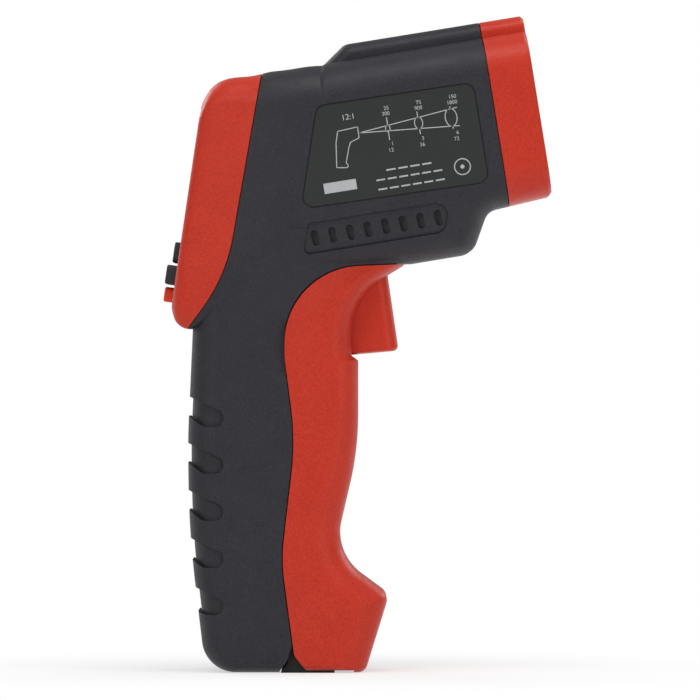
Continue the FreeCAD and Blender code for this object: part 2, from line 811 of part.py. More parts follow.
def key(middle, half_width, low_s, high_s, out):
    """A key cap on its flange, which stays behind the bezel's wall."""
    cap = plate(low_s, high_s, middle - half_width, middle + half_width, -WALL - KEY_SEAT, out, KEY_CORNER)
    rim = [edge for edge in cap.Edges if edge.BoundBox.ZMin > out - 0.01]
    cap = cap.makeFillet(KEY_EDGE, rim)
    flange = plate(
        low_s - KEY_FLANGE_END,
        high_s + KEY_FLANGE_END,
        middle - half_width - KEY_FLANGE_EDGE,
        middle + half_width + KEY_FLANGE_EDGE,
        -WALL - KEY_SEAT - KEY_FLANGE,
        -WALL - KEY_SEAT,
        KEY_CORNER,
    )
    return in_face(cap.fuse(flange))


def key_hole(middle, half_width, low_s, high_s, out):
    y0, y1 = middle - half_width - KEY_GAP, middle + half_width + KEY_GAP
    hole = plate(low_s - KEY_GAP, high_s + KEY_GAP, y0, y1, -WALL - 1, SKIN_OVER, KEY_CORNER + KEY_GAP)
    return in_face(hole)


def post_places():
    return [(s, side * POST_Y) for s in (POST_LOW_S, POST_MIDDLE_S, POST_HIGH_S) for side in (1, -1)]


POST_LOW_S = 10.0
POST_MIDDLE_S = (KEYS[0][4] + WINDOW_LOW_S) / 2
POST_HIGH_S = 62.6


def rear_bezel():
    body = between(0.0, WALL, bezel_region(0))
    lip_region = bezel_region(-SPIGOT_LENGTH)
    inner = WALL + FIT_GAP
    lip = between(inner, inner + SPIGOT_WALL, lip_region.cut(bezel_region(2.5)))
    lip = lip.cut(box(-FAR, FAR, -FAR, FAR, 0, FACE_FOOT_Z + 14))
    link = between(WALL - 0.3, inner + SPIGOT_WALL, bezel_region(0).cut(bezel_region(2.5)))
    link = link.cut(box(-FAR, FAR, -FAR, FAR, 0, FACE_FOOT_Z + 14))
    posts = [
        in_face(rod(POST_RADIUS, (s, y, -WALL + 0.5), (s, y, -BOARD_DEPTH)))
        for s, y in post_places()
    ]
    posts = posts[0].fuse(posts[1:]).common(envelope(MID_WALL))
    body = body.fuse([lip, link, posts])
    edge = WINDOW_REBATE
    cuts = [
        face_window(WINDOW_LOW_S, WINDOW_HIGH_S, WINDOW_HALF_WIDTH,
                    -WINDOW_SINK - WINDOW_THICKNESS, SKIN_OVER, 2.0),
        face_window(WINDOW_LOW_S + edge, WINDOW_HIGH_S - edge, WINDOW_HALF_WIDTH - edge,
                    -WALL - 1, SKIN_OVER, 1.5),
    ]
    cuts += [key_hole(*spec[1:]) for spec in KEYS]
    return largest(body.cut(cuts))


def lcd_window():
    return face_window(
        WINDOW_LOW_S + 0.1, WINDOW_HIGH_S - 0.1, WINDOW_HALF_WIDTH - 0.1,
        -WINDOW_SINK - WINDOW_THICKNESS, -WINDOW_SINK, 1.9,
    )


def lcd_module():
    top = -WALL - 0.1
    return face_window(WINDOW_LOW_S + 0.4, WINDOW_HIGH_S - 0.4, WINDOW_HALF_WIDTH - 0.4,
                       top - LCD_THICKNESS, top, 0.5)


def lcd_backlight():
    top = -WALL - 0.1 - LCD_THICKNESS
    return face_window(WINDOW_LOW_S + 0.4, WINDOW_HIGH_S - 0.4, WINDOW_HALF_WIDTH - 0.4,
                       -BOARD_DEPTH, top, 0.5)


def keypad_mat():
    """The rubber sheet behind the keys, on feet that stand on the board."""
    top = -WALL - KEY_SEAT - KEY_FLANGE - KEY_TRAVEL - FIT_GAP
    half = KEYS[1][1] + KEYS[1][2] + 0.6
    low, high = KEYS[3][3] - 0.5, KEYS[0][4] + 0.4
    sheet = plate(low, high, -half, half, top - MAT_THICKNESS, top, 2.0)
    feet = []
    for name, middle, half_width, low_s, high_s, out in KEYS:
        s = (low_s + high_s) / 2
        feet.append(rod(1.6, (s, middle, top - MAT_THICKNESS / 2), (s, middle, -BOARD_DEPTH)))
    return in_face(sheet.fuse(feet))


def main_board():
    top = -BOARD_DEPTH
    board = plate(BOARD_LOW_S, BOARD_HIGH_S, -BOARD_HALF_WIDTH, BOARD_HALF_WIDTH,
                  top - BOARD_THICKNESS, top, 1.5)
    under = top - BOARD_THICKNESS
    chip = box(34, 44, -5, 5, under - 1.4, under)
    coil = box(20, 25, 6, 12, under - 2.6, under)
    socket = box(12, 16, -11, -3, under - 3.5, under)
    return in_face(board.fuse([chip, coil, socket]))


def buzzer():
    under = -BOARD_DEPTH - BOARD_THICKNESS
    can = rod(6.0, (54, -8, under), (54, -8, under - 5.5))
    return in_face(can.cut(rod(1.0, (54, -8, under - 3), (54, -8, under - 6))))


# ---------------------------------------------------------------- nose
def nose_plug(inset, u0, u1):
    """The inside of the nose at an inset, from u0 to u1 along the barrel."""
    return nose_form(inset).common(barrel_slab(u0, u1))


def nose_ring():
    """The red ring round the nose, with a spigot that goes into the shells."""
    back = NOSE_U - RING_DEPTH
    spigot = WALL + FIT_GAP
    ring = nose_plug(0.0, back, NOSE_U)
    front = max(ring.Faces, key=lambda face: along_barrel(face.CenterOfMass))
    ring = ring.makeChamfer(RING_CHAMFER, front.OuterWire.Edges)
    ring = ring.fuse(nose_plug(spigot, back - SPIGOT_LENGTH, back + 1))
    ring = ring.cut(nose_plug(WALL, back + 2, NOSE_U + 1))
    return ring.cut(nose_plug(spigot + SPIGOT_WALL, back - SPIGOT_LENGTH - 1, back + 2.5))


def along_barrel(point):
    return point.x * math.cos(TILT) + point.z * math.sin(TILT)


def front_insert():
    """The black plate inside the ring, with the lens hood and the laser's hole."""
    face = nose_form(WALL + FIT_GAP).common(barrel_slab(INSERT_BACK_U, INSERT_FRONT_U))
    hood = in_barrel(cone(HOOD_BACK_RADIUS + HOOD_WALL, HOOD_FRONT_RADIUS + HOOD_WALL,
                          (HOOD_BACK_U, 0, LENS_W), (INSERT_FRONT_U, 0, LENS_W)))
    hollow = in_barrel(cone(HOOD_BACK_RADIUS, HOOD_FRONT_RADIUS,
                            (HOOD_BACK_U, 0, LENS_W), (INSERT_FRONT_U, 0, LENS_W)))
    past = in_barrel(rod(HOOD_FRONT_RADIUS, (INSERT_FRONT_U, 0, LENS_W), (INSERT_FRONT_U + 2, 0, LENS_W)))
    seat_u = INSERT_FRONT_U - 0.8 - LASER_WINDOW_THICKNESS
    laser_seat = in_barrel(rod(LASER_WINDOW_RADIUS + 0.05, (seat_u, 0, LASER_W), (NOSE_U, 0, LASER_W)))
    laser_hole = in_barrel(rod(LASER_WINDOW_RADIUS - 1, (INSERT_BACK_U - 1, 0, LASER_W), (NOSE_U, 0, LASER_W)))
    return largest(face.fuse(hood).cut([hollow, past, laser_seat, laser_hole]))


def laser_window():
    seat_u = INSERT_FRONT_U - 0.8 - LASER_WINDOW_THICKNESS
    return in_barrel(rod(LASER_WINDOW_RADIUS, (seat_u, 0, LASER_W),
                         (seat_u + LASER_WINDOW_THICKNESS, 0, LASER_W)))


def laser_module():
    end_u = LASER_BACK_U + LASER_LENGTH
    body = rod(LASER_RADIUS, (LASER_BACK_U, 0, LASER_W), (end_u, 0, LASER_W))
    bore = rod(LASER_RADIUS - 1.2, (end_u - 3, 0, LASER_W), (end_u + 1, 0, LASER_W))
    return in_barrel(body.cut(bore))


def lens_barrel():
    body = rod(BARREL_RADIUS, (BARREL_BACK_U, 0, LENS_W), (HOOD_BACK_U, 0, LENS_W))
    bore = rod(BARREL_BORE_RADIUS, (BARREL_BACK_U + 8, 0, LENS_W), (HOOD_BACK_U + 1, 0, LENS_W))
    stop = rod(BARREL_BORE_RADIUS - 1.5, (BARREL_BACK_U - 1, 0, LENS_W), (HOOD_BACK_U + 1, 0, LENS_W))
    return in_barrel(body.cut([bore, stop]))


def ir_lens():
    """A lens with one domed side, resting on a ledge of its barrel's bore."""
    radius = BARREL_BORE_RADIUS - 0.1
    back = HOOD_BACK_U - LENS_SET_BACK - LENS_THICKNESS
    disc = rod(radius, (back, 0, LENS_W), (back + LENS_THICKNESS, 0, LENS_W))
    sphere_radius = 28.0
    middle = back + LENS_THICKNESS - sphere_radius
    return in_barrel(disc.common(Part.makeSphere(sphere_radius, V(middle, 0, LENS_W))))


def lens_spacer():
    """The tube inside the lens barrel that the lens rests on."""
    start = BARREL_BACK_U + 8
    end = HOOD_BACK_U - LENS_SET_BACK - LENS_THICKNESS
    tube = rod(BARREL_BORE_RADIUS - 0.1, (start, 0, LENS_W), (end, 0, LENS_W))
    return in_barrel(tube.cut(rod(BARREL_BORE_RADIUS - 1.3, (start - 1, 0, LENS_W), (end + 1, 0, LENS_W))))


def lens_retainer():
    """The ring in front of the lens."""
    start = HOOD_BACK_U - LENS_SET_BACK + 0.02
    tube = rod(BARREL_BORE_RADIUS - 0.1, (start, 0, LENS_W), (HOOD_BACK_U, 0, LENS_W))
    return in_barrel(tube.cut(rod(BARREL_BORE_RADIUS - 1.3, (start - 1, 0, LENS_W), (HOOD_BACK_U + 1, 0, LENS_W))))


def sensor_board():
    back = BARREL_BACK_U - SENSOR_BOARD_THICKNESS
    half = SENSOR_BOARD
    return in_barrel(box(back, BARREL_BACK_U, -half, half, LENS_W - half, LENS_W + half))


def thermopile_sensor():
    start = BARREL_BACK_U
    flange = rod(SENSOR_RADIUS, (start, 0, LENS_W), (start + 0.8, 0, LENS_W))
    can = rod(SENSOR_RADIUS - 0.5, (start, 0, LENS_W), (start + SENSOR_LENGTH, 0, LENS_W))
    eye = rod(1.2, (start + SENSOR_LENGTH - 0.4, 0, LENS_W), (start + SENSOR_LENGTH + 1, 0, LENS_W))
    return in_barrel(flange.fuse(can).cut(eye))


# ---------------------------------------------------------------- chassis and battery
BATTERY_BACK_X = BATTERY_FRONT_X - BATTERY_DEPTH
BATTERY_TOP_Z = BATTERY_BOTTOM_Z + BATTERY_HEIGHT
BAY_BACK_X = BATTERY_BACK_X - BATTERY_CLEAR
BAY_HALF_WIDTH = BATTERY_WIDTH / 2 + BATTERY_CLEAR
SHELF_Z = BATTERY_TOP_Z + TERMINAL_HEIGHT + SNAP_THICKNESS


def chassis():
    """The inner frame: battery bay, hinge lugs, and the tower that carries the trigger."""
    wall = CHASSIS_WALL
    floor_z = BATTERY_BOTTOM_Z - wall
    outer = BAY_HALF_WIDTH + wall
    back = BAY_BACK_X - wall
    seat_z = WALL + FIT_GAP
    pieces = [
        box(back, BAY_BACK_X, -outer, outer, seat_z, SHELF_Z + wall),
        box(back, BATTERY_FRONT_X - 8, BAY_HALF_WIDTH, outer, floor_z, SHELF_Z + wall),
        box(back, BATTERY_FRONT_X - 8, -outer, -BAY_HALF_WIDTH, floor_z, SHELF_Z + wall),
        box(back, BATTERY_FRONT_X - 2, -outer, outer, floor_z, BATTERY_BOTTOM_Z),
        box(back, TOWER_FRONT_X, -outer, outer, SHELF_Z, SHELF_Z + wall),
        box(FOOT_BACK_X, HINGE_X - 3.8, -CHASSIS_HALF_WIDTH, CHASSIS_HALF_WIDTH, CHASSIS_BASE_Z, seat_z + wall),
        box(back, FOOT_BACK_X + 1, -outer, outer, seat_z, seat_z + wall),
        both_sides(box(FOOT_BACK_X, 3.2, CHASSIS_HALF_WIDTH - wall, CHASSIS_HALF_WIDTH,
                       CHASSIS_BASE_Z, BATTERY_BOTTOM_Z)),
        both_sides(box(-5, 3.2, outer - wall, CHASSIS_HALF_WIDTH, floor_z, BATTERY_BOTTOM_Z)),
        box(TOWER_FRONT_X - TOWER_THICKNESS, TOWER_FRONT_X, -TOWER_HALF_WIDTH, TOWER_HALF_WIDTH,
            SHELF_Z, SWITCH_Z + 6),
        both_sides(hinge_lug()),
        both_sides(trigger_arm()),
        toe_notch(0.45).common(box(-6, -1.5, -CHASSIS_HALF_WIDTH, CHASSIS_HALF_WIDTH,
                                       CHASSIS_BASE_Z, seat_z + wall - 0.1)),
        rod(SPRING_RADIUS - 1.2, (TOWER_FRONT_X - 1, 0, SPRING_Z), (TOWER_FRONT_X + 3, 0, SPRING_Z)),
    ]
    body = pieces[0].fuse(pieces[1:])
    cuts = [
        rod(HINGE_PIN_RADIUS + SEAT_GAP, (HINGE_X, -FAR, HINGE_Z), (HINGE_X, FAR, HINGE_Z)),
        rod(PIVOT_PIN_RADIUS + SEAT_GAP, (PIVOT_X, -FAR, PIVOT_Z), (PIVOT_X, FAR, PIVOT_Z)),
        box(back - 1, BAY_BACK_X + 1, -5, 5, BATTERY_TOP_Z - 3, SHELF_Z),
        box(TOWER_FRONT_X - TOWER_THICKNESS - 1, TOWER_FRONT_X + 1, -3.6, 3.6, SWITCH_Z - 1, SWITCH_Z + 1.6),
    ]
    return largest(body.cut(cuts))


def hinge_lug():
    """One lug of the cover's hinge, reaching forward from the chassis."""
    radius = HINGE_EYE_RADIUS
    corners = [
        (HINGE_X - 0.7 * radius, HINGE_Z - 0.66 * radius, 0),
        (HINGE_X + 0.1, HINGE_Z + 0.9 * radius, 0),
        (HINGE_X - 11, BATTERY_BOTTOM_Z - CHASSIS_WALL, 0),
        (2.6, BATTERY_BOTTOM_Z - CHASSIS_WALL, 0),
        (2.6, HINGE_Z - 0.66 * radius, 0),
    ]
    arm = side_prism(corners, LUG_INNER_Y, LUG_INNER_Y + LUG_WIDTH)
    eye = rod(radius, (HINGE_X, LUG_INNER_Y, HINGE_Z), (HINGE_X, LUG_INNER_Y + LUG_WIDTH, HINGE_Z))
    return arm.fuse(eye)


def trigger_arm():
    """One arm from the tower forward to the trigger's pivot."""
    back = TOWER_FRONT_X - TOWER_THICKNESS
    radius = PIVOT_EYE_RADIUS
    corners = [
        (back, SWITCH_Z + 4, 0),
        (TOWER_FRONT_X, SWITCH_Z + 4, 0),
        (TOWER_FRONT_X + 3, SWITCH_Z + 9, 5),
        (PIVOT_X - 8, PIVOT_Z - radius, 4),
        (PIVOT_X, PIVOT_Z - radius, 0),
        (PIVOT_X, PIVOT_Z + radius, 0),
        (back + 6, PIVOT_Z + radius - 1, 4),
        (back, PIVOT_Z - 4, 4),
    ]
    arm = side_prism(corners, ARM_INNER_Y, ARM_INNER_Y + ARM_WIDTH)
    eye = rod(radius, (PIVOT_X, ARM_INNER_Y, PIVOT_Z), (PIVOT_X, ARM_INNER_Y + ARM_WIDTH, PIVOT_Z))
    return arm.fuse(eye)


def battery():
    y = BATTERY_WIDTH / 2
    can = box(BATTERY_BACK_X, BATTERY_FRONT_X, -y, y, BATTERY_BOTTOM_Z, BATTERY_TOP_Z)
    upright = [edge for edge in can.Edges if edge.BoundBox.ZLength > BATTERY_HEIGHT / 2]
    can = can.makeFillet(2.0, upright)
    middle = (BATTERY_BACK_X + BATTERY_FRONT_X) / 2
    studs = [
        rod(radius, (middle, side * TERMINAL_PITCH / 2, BATTERY_TOP_Z - 0.5),
            (middle, side * TERMINAL_PITCH / 2, BATTERY_TOP_Z + TERMINAL_HEIGHT))
        for side, radius in ((1, TERMINAL_RADIUS), (-1, TERMINAL_RADIUS - 0.7))
    ]
    return can.fuse(studs)


def battery_snap():
    middle = (BATTERY_BACK_X + BATTERY_FRONT_X) / 2
    low = BATTERY_TOP_Z + TERMINAL_HEIGHT
    half = SNAP_LENGTH / 2
    return plate(middle - half, middle + half, -13, 13, low, low + SNAP_THICKNESS - 0.6, 5.0)


def battery_pad():
    """The foam strip between the battery and the floor of its bay's back wall."""
    return box(BAY_BACK_X, BATTERY_BACK_X, -9, 9, BATTERY_BOTTOM_Z + 8, BATTERY_TOP_Z - 12)


# ---------------------------------------------------------------- battery cover
def battery_cover():
    """The red front of the grip, which swings open at its foot."""
    region = cover_region(0)
    body = between(0.0, WALL, region)
    ears = both_sides(rod(HINGE_EYE_RADIUS, (HINGE_X, EAR_INNER_Y, HINGE_Z), (HINGE_X, FAR, HINGE_Z)))
    ears = ears.common(envelope(MID_WALL))
    catches = both_sides(cover_catch())
    body = body.fuse([ears, catches])
    inner = GRIP_HALF_WIDTH - WALL + 0.1
    cuts = [
        barrel_slab(NOSE_START_U - 20, NOSE_U + FAR),
        box(0, FAR, -TRIGGER_HALF_WIDTH - BODY_GAP - 0.2, TRIGGER_HALF_WIDTH + BODY_GAP + 0.2,
            SLOT_FLOOR_Z, PIVOT_Z + 20),
        box(-10, HINGE_X + 1.3, -inner, inner, -1, WALL + 0.6).cut(ear_keep()),
        both_sides(rod(HINGE_PIN_RADIUS + RUN_GAP, (HINGE_X, 0, HINGE_Z),
                       (HINGE_X, EAR_INNER_Y + 2.6, HINGE_Z))),
    ]
    return largest(body.cut(cuts))


def ear_keep():
    return both_sides(rod(HINGE_EYE_RADIUS, (HINGE_X, EAR_INNER_Y, HINGE_Z), (HINGE_X, FAR, HINGE_Z)))


def cover_catch():
    """One tongue that snaps behind the edge of the housing."""
    inner = GRIP_HALF_WIDTH - WALL - BODY_GAP
    tongue = box(-3.4, 3.0, inner - 1.1, inner, 57, 66)
    root = box(1.0, 3.0, inner - 1.1, GRIP_HALF_WIDTH - 1, 57, 66)
    return tongue.fuse(root)


def cover_hinge_pin():
    reach = EAR_INNER_Y + 2.4
    return rod(HINGE_PIN_RADIUS, (HINGE_X, -reach, HINGE_Z), (HINGE_X, reach, HINGE_Z))


# ---------------------------------------------------------------- trigger
TRIGGER_OUTLINE = [
    (TRIGGER_BACK_X, 84.2, 1.0, 0.6),
    (TRIGGER_TIP_X, TRIGGER_TIP_Z, 1.5, 3.6),
    (TRIGGER_TOP_X, TRIGGER_TOP_Z, 0.8, 0.4),
    (TRIGGER_BACK_X, 105.4, 1.0, 0.0),
]


def trigger():
    blade = pillow(TRIGGER_OUTLINE, TRIGGER_HALF_WIDTH, 4.0, 0.0)
    wall = TRIGGER_WALL
    pocket = side_prism([
        (TRIGGER_BACK_X - 5, 84.2 + wall, 0),
        (TRIGGER_TIP_X - wall - 1.2, TRIGGER_TIP_Z + wall, 1.5),
        (TRIGGER_TOP_X - wall - 1.2, TRIGGER_TOP_Z - wall, 1.5),
        (TRIGGER_BACK_X - 5, TRIGGER_TOP_Z - wall, 0),
    ], -TRIGGER_HALF_WIDTH + wall, TRIGGER_HALF_WIDTH - wall)
    half = TRIGGER_STEM_HALF_WIDTH
    eye = PIVOT_EYE_RADIUS
    stem = box(PIVOT_X - eye, PIVOT_X + eye, -half, half, TRIGGER_TOP_Z - 4.5, PIVOT_Z)
    hub = rod(eye, (PIVOT_X, -half, PIVOT_Z), (PIVOT_X, half, PIVOT_Z))
    spring_seat = rod(SPRING_RADIUS + 1, (TRIGGER_BACK_X + 1.5, 0, SPRING_Z), (TRIGGER_TIP_X - 3, 0, SPRING_Z))
    pad_x = TOWER_FRONT_X + SWITCH_DEPTH + PLUNGER_OUT + FIT_GAP
    pad = box(pad_x + 1, TRIGGER_TOP_X - 1, -1.6, 1.6, SWITCH_Z - 1, SWITCH_Z + 1)
    pad_end = rod(1.0, (pad_x + 1, -1.6, SWITCH_Z), (pad_x + 1, 1.6, SWITCH_Z))
    body = blade.cut(pocket).fuse([stem, hub, spring_seat, pad, pad_end])
    hole = rod(PIVOT_PIN_RADIUS + RUN_GAP, (PIVOT_X, -half - 1, PIVOT_Z), (PIVOT_X, half + 1, PIVOT_Z))
    return largest(body.cut(hole))


def stem_slot():
    """The slot in the housing's belly that the trigger's stem comes through."""
    half = TRIGGER_STEM_HALF_WIDTH + 0.8
    eye = PIVOT_EYE_RADIUS
    return box(PIVOT_X - eye - 3.5, PIVOT_X + eye + 1.2, -half, half, SLOT_FLOOR_Z, PIVOT_Z - 1)


def trigger_pin():
    reach = ARM_INNER_Y + ARM_WIDTH
    return rod(PIVOT_PIN_RADIUS, (PIVOT_X, -reach, PIVOT_Z), (PIVOT_X, reach, PIVOT_Z))


def trigger_spring():
    """A coil spring from the tower to the seat inside the trigger."""
    start = TOWER_FRONT_X + SPRING_WIRE
    length = TRIGGER_BACK_X + 1.5 - TOWER_FRONT_X - 2 * SPRING_WIRE
    radius = SPRING_RADIUS - SPRING_WIRE
    helix = Part.makeHelix(length / SPRING_TURNS, length, radius)
    profile = Part.Wire([Part.Circle(V(radius, 0, 0), V(0, 1, 0), SPRING_WIRE).toShape()])
    coil = Part.Wire(helix.Edges).makePipeShell([profile], True, True)
    coil.rotate(V(0, 0, 0), V(0, 1, 0), 90)
    coil.translate(V(start, 0, SPRING_Z))
    return coil


def trigger_switch():
    x0, x1 = TOWER_FRONT_X, TOWER_FRONT_X + SWITCH_DEPTH
    y, z = SWITCH_WIDTH / 2, SWITCH_HEIGHT / 2
    body = box(x0, x1, -y, y, SWITCH_Z - z, SWITCH_Z + z)
    bore_y, bore_z = PLUNGER_WIDTH / 2 + 0.1, PLUNGER_HEIGHT / 2 + 0.1
    bore_x = x1 + PLUNGER_OUT - PLUNGER_LENGTH - 2.0
    bore = box(bore_x, x1 + 1, -bore_y, bore_y, SWITCH_Z - bore_z, SWITCH_Z + bore_z)
    lugs = []
    for y_lug in (-2.5, 2.5):
        lugs.append(box(x0 - SWITCH_LUG, x0 + 0.5, y_lug - 0.25, y_lug + 0.25, SWITCH_Z - 0.8, SWITCH_Z + 0.8))
    return body.cut(bore).fuse(lugs)


def switch_plunger():
    end = TOWER_FRONT_X + SWITCH_DEPTH + PLUNGER_OUT
    y, z = PLUNGER_WIDTH / 2, PLUNGER_HEIGHT / 2
    return box(end - PLUNGER_LENGTH, end, -y, y, SWITCH_Z - z, SWITCH_Z + z)


# ---------------------------------------------------------------- wires
def wire(points, radius):
    """A wire along straight runs joined by tangent arcs."""
    places = [V(*point) for point in points]
    edges = []
    last = places[0]
    for i in range(1, len(places) - 1):
        before, after = places[i] - places[i - 1], places[i + 1] - places[i]
        ua, ub = V(before).normalize(), V(after).normalize()
        half = math.acos(max(-1.0, min(1.0, ua.dot(ub)))) / 2
        tangent = 0.45 * min(before.Length, after.Length)
        bend = tangent / math.tan(half)
        start, end = places[i] - ua * tangent, places[i] + ub * tangent
        middle = places[i] + V(ub - ua).normalize() * (bend / math.cos(half) - bend)
        edges.append(Part.LineSegment(last, start).toShape())
        edges.append(Part.Arc(start, middle, end).toShape())
        last = end
    edges.append(Part.LineSegment(last, places[-1]).toShape())
    path = Part.Wire(edges)
    profile = Part.Wire([Part.Circle(places[0], places[1] - places[0], radius).toShape()])
    return path.makePipeShell([profile], True, True)


def face_point(s, y, depth):
    x, z = on_face(s, depth)
    return x, y, z


def barrel_point(u, y, w):
    x, z = on_barrel(u, w)
    return x, y, z


BOARD_BACK = BOARD_DEPTH + BOARD_THICKNESS


def battery_leads():
    z = BATTERY_TOP_Z + TERMINAL_HEIGHT + SNAP_THICKNESS / 2
    snap_x = (BATTERY_BACK_X + BATTERY_FRONT_X) / 2 - SNAP_LENGTH / 2
    leads = []
    for y in (2.0, -2.0):
        leads.append(wire([
            (snap_x, y, z),
            (BAY_BACK_X - 5, y, z),
            (BAY_BACK_X - 9, 1.6 * y, z + 13),
            (BAY_BACK_X - 11, 1.8 * y, z + 25),
            face_point(15, y, BOARD_BACK + 4),
            face_point(15, y, BOARD_BACK),
        ], WIRE_RADIUS))
    return Part.makeCompound(leads)


def switch_leads():
    x = TOWER_FRONT_X - SWITCH_LUG
    leads = []
    for y in (2.5, -2.5):
        leads.append(wire([
            (x, y, SWITCH_Z),
            (x - 4, y, SWITCH_Z),
            face_point(28.5, y, BOARD_BACK + 7),
            face_point(28.5, y, BOARD_BACK),
        ], WIRE_RADIUS))
    return Part.makeCompound(leads)


def laser_leads():
    leads = []
    for y in (1.2, -1.2):
        leads.append(wire([
            barrel_point(LASER_BACK_U, y, LASER_W),
            barrel_point(LASER_BACK_U - 2.4, y, LASER_W),
            barrel_point(LASER_BACK_U - 3.4, y + 5.5, LENS_W + BARREL_RADIUS + 0.6),
            barrel_point(LASER_BACK_U - 22, y + 6.5, LENS_W + BARREL_RADIUS - 1),
            face_point(57, y + 6.5, BOARD_BACK + 9),
            face_point(57, y + 6.5, BOARD_BACK),
        ], WIRE_RADIUS))
    return Part.makeCompound(leads)


def sensor_leads():
    start_u = BARREL_BACK_U - SENSOR_BOARD_THICKNESS
    leads = []
    for y in (-2.5, 0.0, 2.5):
        leads.append(wire([
            barrel_point(start_u, y, LENS_W),
            barrel_point(start_u - 8, y, LENS_W),
            barrel_point(start_u - 20, y, LENS_W - 3),
            face_point(48.5, y, BOARD_BACK + 9),
            face_point(48.5, y, BOARD_BACK),
        ], WIRE_RADIUS))
    return Part.makeCompound(leads)


# ---------------------------------------------------------------- build
def build():
    parts = {
        "left_shell": shell(1),
        "right_shell": shell(-1),
        "left_label": label(1),
        "right_label": label(-1),
        "housing_screws": housing_screws(),
        "rear_bezel": rear_bezel(),
        "lcd_window": lcd_window(),
        "lcd_module": lcd_module(),
        "lcd_backlight": lcd_backlight(),
        "keypad_mat": keypad_mat(),
        "main_board": main_board(),
        "buzzer": buzzer(),
        "nose_ring": nose_ring(),
        "front_insert": front_insert(),
        "lens_barrel": lens_barrel(),
        "lens_spacer": lens_spacer(),
        "ir_lens": ir_lens(),
        "lens_retainer": lens_retainer(),
        "thermopile_sensor": thermopile_sensor(),
        "sensor_board": sensor_board(),
        "laser_module": laser_module(),
        "laser_window": laser_window(),
        "chassis": chassis(),
        "battery": battery(),
        "battery_pad": battery_pad(),
        "battery_snap": battery_snap(),
        "battery_cover": battery_cover(),
        "cover_hinge_pin": cover_hinge_pin(),
        "trigger": trigger(),
        "trigger_pin": trigger_pin(),
        "trigger_spring": trigger_spring(),
        "trigger_switch": trigger_switch(),
        "switch_plunger": switch_plunger(),
        "battery_leads": battery_leads(),
        "switch_leads": switch_leads(),
        "laser_leads": laser_leads(),
        "sensor_leads": sensor_leads(),
    }
    for spec in KEYS:
        parts[spec[0]] = key(*spec[1:])
    return parts


os.makedirs("parts", exist_ok=True)
for name, shape in build().items():
    shape.exportStep("parts/" + name + ".step")
    print(name, len(shape.Solids), "valid" if shape.isValid() else "NOT VALID", round(shape.Volume, 1))
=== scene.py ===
import json
import math

import bpy
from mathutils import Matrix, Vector


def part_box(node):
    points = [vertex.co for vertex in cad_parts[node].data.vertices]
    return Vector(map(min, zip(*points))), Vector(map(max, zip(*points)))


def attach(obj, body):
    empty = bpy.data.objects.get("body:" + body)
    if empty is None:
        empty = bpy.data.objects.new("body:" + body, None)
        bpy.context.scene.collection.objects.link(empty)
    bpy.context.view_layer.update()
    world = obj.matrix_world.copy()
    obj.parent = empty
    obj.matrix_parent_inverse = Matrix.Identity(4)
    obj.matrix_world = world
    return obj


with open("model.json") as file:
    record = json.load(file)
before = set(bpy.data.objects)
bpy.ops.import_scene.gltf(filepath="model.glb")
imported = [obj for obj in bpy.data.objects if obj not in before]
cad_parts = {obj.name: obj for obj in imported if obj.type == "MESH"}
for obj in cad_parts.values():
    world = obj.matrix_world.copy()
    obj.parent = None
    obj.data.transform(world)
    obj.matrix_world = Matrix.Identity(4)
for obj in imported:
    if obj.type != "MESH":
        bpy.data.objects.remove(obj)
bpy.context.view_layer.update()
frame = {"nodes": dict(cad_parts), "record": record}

MM = 0.001
NODES = frame["nodes"]


def linked(name, data):
    """A new object in the scene."""
    piece = bpy.data.objects.new(name, data)
    bpy.context.scene.collection.objects.link(piece)
    return piece


# ---------------------------------------------------------------- materials
def new_material(name):
    """A material with an empty node tree; returns it with its nodes, links and shader."""
    material = bpy.data.materials.new(name)
    material.use_nodes = True
    nodes = material.node_tree.nodes
    links = material.node_tree.links
    nodes.clear()
    output = nodes.new("ShaderNodeOutputMaterial")
    shader = nodes.new("ShaderNodeBsdfPrincipled")
    links.new(shader.outputs["BSDF"], output.inputs["Surface"])
    return material, nodes, links, shader


def object_point(nodes):
    """The point being shaded, in the object's own metres."""
    return nodes.new("ShaderNodeTexCoord").outputs["Object"]


def noise(nodes, links, size, detail=2.0, roughness=0.5):
    """Noise whose blobs are about size across, in metres."""
    texture = nodes.new("ShaderNodeTexNoise")
    links.new(object_point(nodes), texture.inputs["Vector"])
    texture.inputs["Scale"].default_value = 1.0 / size
    texture.inputs["Detail"].default_value = detail
    texture.inputs["Roughness"].default_value = roughness
    return texture.outputs["Fac"]


def spread(nodes, links, value, low, high):
    """Maps the middle of a noise to the range from low to high."""
    mapping = nodes.new("ShaderNodeMapRange")
    mapping.inputs["From Min"].default_value = 0.3
    mapping.inputs["From Max"].default_value = 0.7
    mapping.inputs["To Min"].default_value = low
    mapping.inputs["To Max"].default_value = high
    links.new(value, mapping.inputs["Value"])
    return mapping.outputs["Result"]


def two_tones(nodes, links, value, dark, light):
    """A colour from dark at 0 to light at 1."""
    mix = nodes.new("ShaderNodeMix")
    mix.data_type = "RGBA"
    mix.inputs["A"].default_value = (*dark, 1)
    mix.inputs["B"].default_value = (*light, 1)
    links.new(value, mix.inputs["Factor"])
    return mix.outputs["Result"]


def bumps(nodes, links, shader, layers):
    """Stacks bump nodes; each layer is (height socket, depth in metres)."""
    normal = None
    for height, depth in layers:
        bump = nodes.new("ShaderNodeBump")
        bump.inputs["Distance"].default_value = depth
        links.new(height, bump.inputs["Height"])
        if normal is not None:
            links.new(normal, bump.inputs["Normal"])
        normal = bump.outputs["Normal"]
    links.new(normal, shader.inputs["Normal"])


